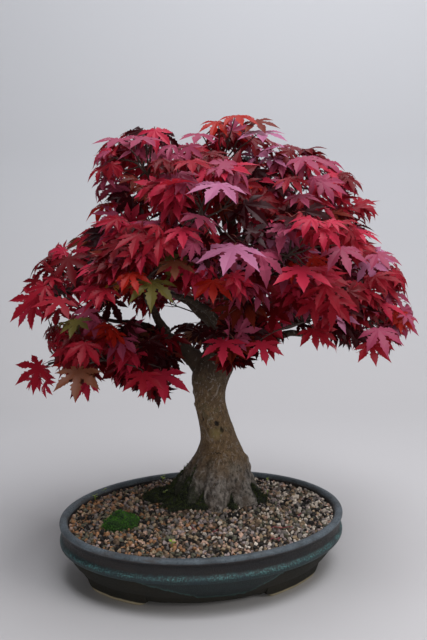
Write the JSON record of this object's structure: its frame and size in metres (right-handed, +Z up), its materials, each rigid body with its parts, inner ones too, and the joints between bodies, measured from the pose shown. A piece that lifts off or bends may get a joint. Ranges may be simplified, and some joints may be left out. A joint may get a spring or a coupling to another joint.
{
  "type": "maple bonsai in a pot",
  "caption": "Red-leaved maple bonsai with a flared leaning trunk, forking boughs and a broad domed crown, planted in a low oval glazed pot with gravel.",
  "frame": {"origin": "on the plane the pot's feet stand on, under the middle of the whole plant's box", "axes": "+Z up; X along the pot's long axis; the tree's best side looks along -Y"},
  "size_m": [0.429, 0.3382, 0.4653],
  "materials": {
    "glaze": "satin",
    "gravel": "matte",
    "moss": "matte",
    "bark": "matte",
    "foliage": "satin"
  },
  "bodies": {
    "root": {"pot": "glaze", "soil": "gravel", "moss_cushion": "moss", "trunk": "bark", "left_bough": "bark", "right_bough": "bark", "left_low_bough": "bark", "left_front_bough": "bark", "left_inner_bough": "bark", "left_shoulder_bough": "bark", "right_low_bough": "bark", "right_front_bough": "bark", "right_shoulder_bough": "bark", "top_left_bough": "bark", "top_right_bough": "bark", "front_low_bough": "bark", "front_left_bough": "bark", "front_right_bough": "bark", "front_middle_bough": "bark", "front_upper_bough": "bark", "back_low_bough": "bark", "back_left_bough": "bark", "back_right_bough": "bark", "back_upper_bough": "bark", "apex": "foliage", "top_left": "foliage", "top_right": "foliage", "left_shoulder": "foliage", "right_shoulder": "foliage", "left_middle": "foliage", "right_middle": "foliage", "left_low": "foliage", "left_front_low": "foliage", "left_low_inner": "foliage", "right_low": "foliage", "front_right_low": "foliage", "front_low": "foliage", "front_upper": "foliage", "front_right": "foliage", "front_left": "foliage", "front_middle": "foliage", "back_upper": "foliage", "back_left": "foliage", "back_right": "foliage", "back_low": "foliage"}
  },
  "joints": []
}
